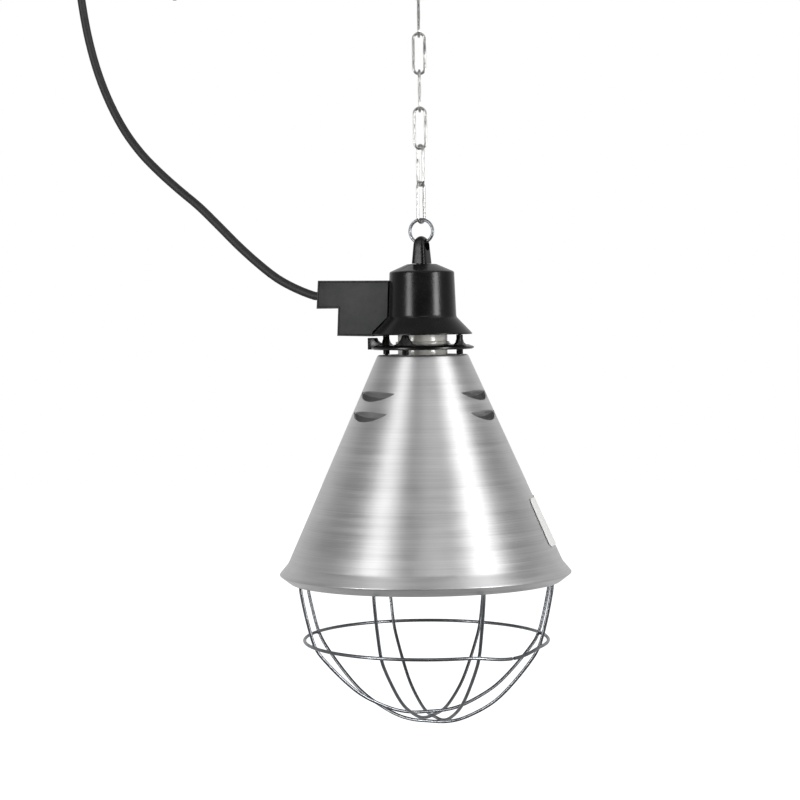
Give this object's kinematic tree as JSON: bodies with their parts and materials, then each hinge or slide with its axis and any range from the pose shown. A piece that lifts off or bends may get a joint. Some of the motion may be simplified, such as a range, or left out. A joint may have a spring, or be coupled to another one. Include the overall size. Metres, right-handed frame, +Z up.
{
  "type": "hanging heat lamp fixture",
  "caption": "Hanging heat lamp fixture with a spun cone reflector, wire guard, side cable box, link chain and coiled mains cord; no bulb fitted.",
  "frame": {"origin": "the inside of the S-hook's upper bend, where the lamp hangs", "axes": "+Z up along the lamp's axis and its chain; the cable box and its cord point along -X"},
  "size_m": [0.3897, 0.2096, 0.6858],
  "materials": {
    "aluminium": "spun aluminium, satin, with fine rings from turning",
    "black_plastic": "moulded black plastic, satin gloss",
    "grey_black_plastic": "moulded dark grey-black plastic, matte and slightly mottled",
    "porcelain": "glazed white porcelain",
    "brass": "plain brass",
    "zinc_wire": "galvanised steel wire, bluish grey",
    "bright_zinc": "bright zinc-plated steel",
    "black_rubber": "black rubber, dull",
    "blue_insulation": "blue wire insulation",
    "brown_insulation": "brown wire insulation",
    "white_label": "plain white sticker",
    "black_webbing": "black woven strap"
  },
  "bodies": {
    "hook": {"s_hook": "bright_zinc", "cord_run": "black_rubber", "cord_coil": "black_rubber", "cord_tail": "black_rubber", "cord_strap": "black_webbing", "plug_body": "black_rubber", "plug_pin_1": "bright_zinc", "plug_pin_2": "bright_zinc"},
    "link_7": {"chain_link_7": "bright_zinc"},
    "link_6": {"chain_link_6": "bright_zinc"},
    "link_5": {"chain_link_5": "bright_zinc"},
    "link_4": {"chain_link_4": "bright_zinc"},
    "link_3": {"chain_link_3": "bright_zinc"},
    "link_2": {"chain_link_2": "bright_zinc"},
    "link_1": {"chain_link_1": "bright_zinc"},
    "ring": {"hang_ring": "zinc_wire"},
    "lamp": {"box_screw_1": "bright_zinc", "box_screw_2": "bright_zinc", "cable_box": "grey_black_plastic", "cable_box_cover": "grey_black_plastic", "carrier_ring": "black_plastic", "centre_contact": "brass", "clamp_screw_1": "bright_zinc", "clamp_screw_2": "bright_zinc", "cord_clamp": "black_plastic", "hanger_eye": "black_plastic", "hanger_nut": "bright_zinc", "hanger_washer": "bright_zinc", "housing_cap": "black_plastic", "lampholder": "porcelain", "post_screw_1": "bright_zinc", "post_screw_2": "bright_zinc", "post_screw_3": "bright_zinc", "post_screw_4": "bright_zinc", "rating_label": "white_label", "reflector": "aluminium", "screw_shell": "brass", "terminal_screw_live": "brass", "terminal_screw_neutral": "brass", "wire_live": "brown_insulation", "wire_neutral": "blue_insulation"},
    "guard": {"guard_hoop_1": "zinc_wire", "guard_hoop_2": "zinc_wire", "guard_hoop_3": "zinc_wire", "guard_hoop_4": "zinc_wire", "guard_ring": "zinc_wire"}
  },
  "joints": [
    {"name": "link_7_swing", "type": "hinge", "parent": "hook", "child": "link_7", "pos_m": [0, 0, -0.0645], "axis": [-0.4226, 0.9063, 0], "range_deg": [-20, 20], "deforming": ["cord_run"]},
    {"name": "link_6_swing", "type": "hinge", "parent": "link_7", "child": "link_6", "pos_m": [0, 0, -0.0905], "axis": [0.9063, 0.4226, 0], "range_deg": [-20, 20], "deforming": ["cord_run"]},
    {"name": "link_5_swing", "type": "hinge", "parent": "link_6", "child": "link_5", "pos_m": [0, 0, -0.117], "axis": [-0.4226, 0.9063, 0], "range_deg": [-20, 20], "deforming": ["cord_run"]},
    {"name": "link_4_swing", "type": "hinge", "parent": "link_5", "child": "link_4", "pos_m": [0, 0, -0.1435], "axis": [0.9063, 0.4226, 0], "range_deg": [-20, 20], "deforming": ["cord_run"]},
    {"name": "link_3_swing", "type": "hinge", "parent": "link_4", "child": "link_3", "pos_m": [0, 0, -0.17], "axis": [-0.4226, 0.9063, 0], "range_deg": [-20, 20], "deforming": ["cord_run"]},
    {"name": "link_2_swing", "type": "hinge", "parent": "link_3", "child": "link_2", "pos_m": [0, 0, -0.1965], "axis": [0.9063, 0.4226, 0], "range_deg": [-20, 20], "deforming": ["cord_run"]},
    {"name": "link_1_swing", "type": "hinge", "parent": "link_2", "child": "link_1", "pos_m": [0, 0, -0.223], "axis": [-0.809, 0.5878, 0], "range_deg": [-20, 20], "deforming": ["cord_run"]},
    {"name": "ring_swing", "type": "hinge", "parent": "link_1", "child": "ring", "pos_m": [0, 0, -0.2495], "axis": [0.1736, 0.9848, 0], "range_deg": [-20, 20], "deforming": ["cord_run"]},
    {"name": "lamp_swing", "type": "hinge", "parent": "ring", "child": "lamp", "pos_m": [0, 0, -0.2639], "axis": [0.9848, 0.1736, 0], "range_deg": [-20, 20], "deforming": ["cord_run"]},
    {"name": "guard_slide", "type": "slide", "parent": "lamp", "child": "guard", "axis": [0, 0, -1], "range_m": [0, 0.06]}
  ]
}
